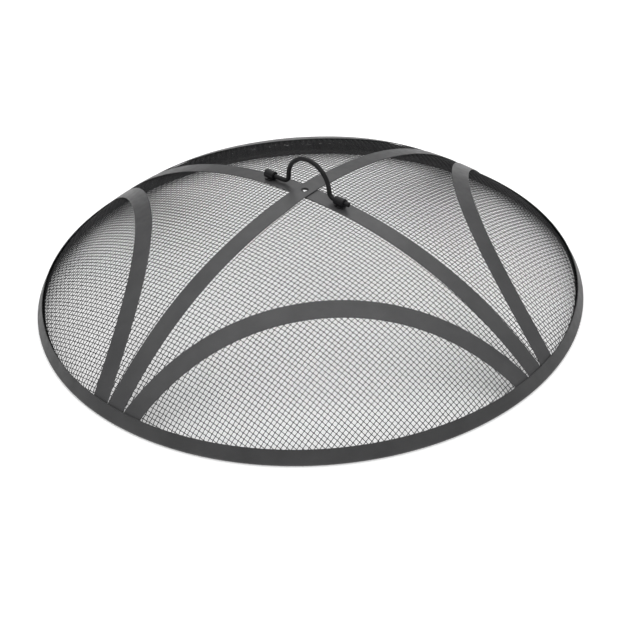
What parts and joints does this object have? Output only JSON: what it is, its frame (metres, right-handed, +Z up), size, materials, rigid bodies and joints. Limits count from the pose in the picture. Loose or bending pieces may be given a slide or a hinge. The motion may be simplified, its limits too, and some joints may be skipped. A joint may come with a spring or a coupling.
{
  "type": "fire pit spark screen",
  "caption": "Round domed spark screen for a fire pit: woven wire dome in a folded rim, crossing and arched flat straps, and a swinging bail handle on the crown.",
  "frame": {"origin": "centre of the plane that the rim rests on, under the crown", "axes": "+Z up through the crown; the arched straps are centred on +X, -X, +Y and -Y, the pictured front is -Y, and the bail's hinge line runs along (1, -1, 0)"},
  "size_m": [0.7556, 0.7556, 0.2032],
  "materials": {
    "rim_paint": "satin charcoal high-temperature paint",
    "strap_paint": "satin charcoal high-temperature paint",
    "wire_cloth": "black painted steel wire, satin",
    "rod_paint": "satin black high-temperature paint"
  },
  "bodies": {
    "screen": {"rim_channel": "rim_paint", "mesh_dome": "wire_cloth", "cross_strap_lower": "strap_paint", "cross_strap_upper": "strap_paint", "arch_strap_front": "strap_paint", "arch_strap_left": "strap_paint", "arch_strap_right": "strap_paint", "arch_strap_back": "strap_paint", "sleeve_left": "rod_paint", "sleeve_right": "rod_paint"},
    "bail": {"bail_handle": "rod_paint"}
  },
  "joints": [
    {"name": "bail_swing", "type": "hinge", "parent": "screen", "child": "bail", "pos_m": [0, 0, 0.15552], "axis": [0.7071, -0.7071, 0], "range_deg": [-91, 91]}
  ]
}
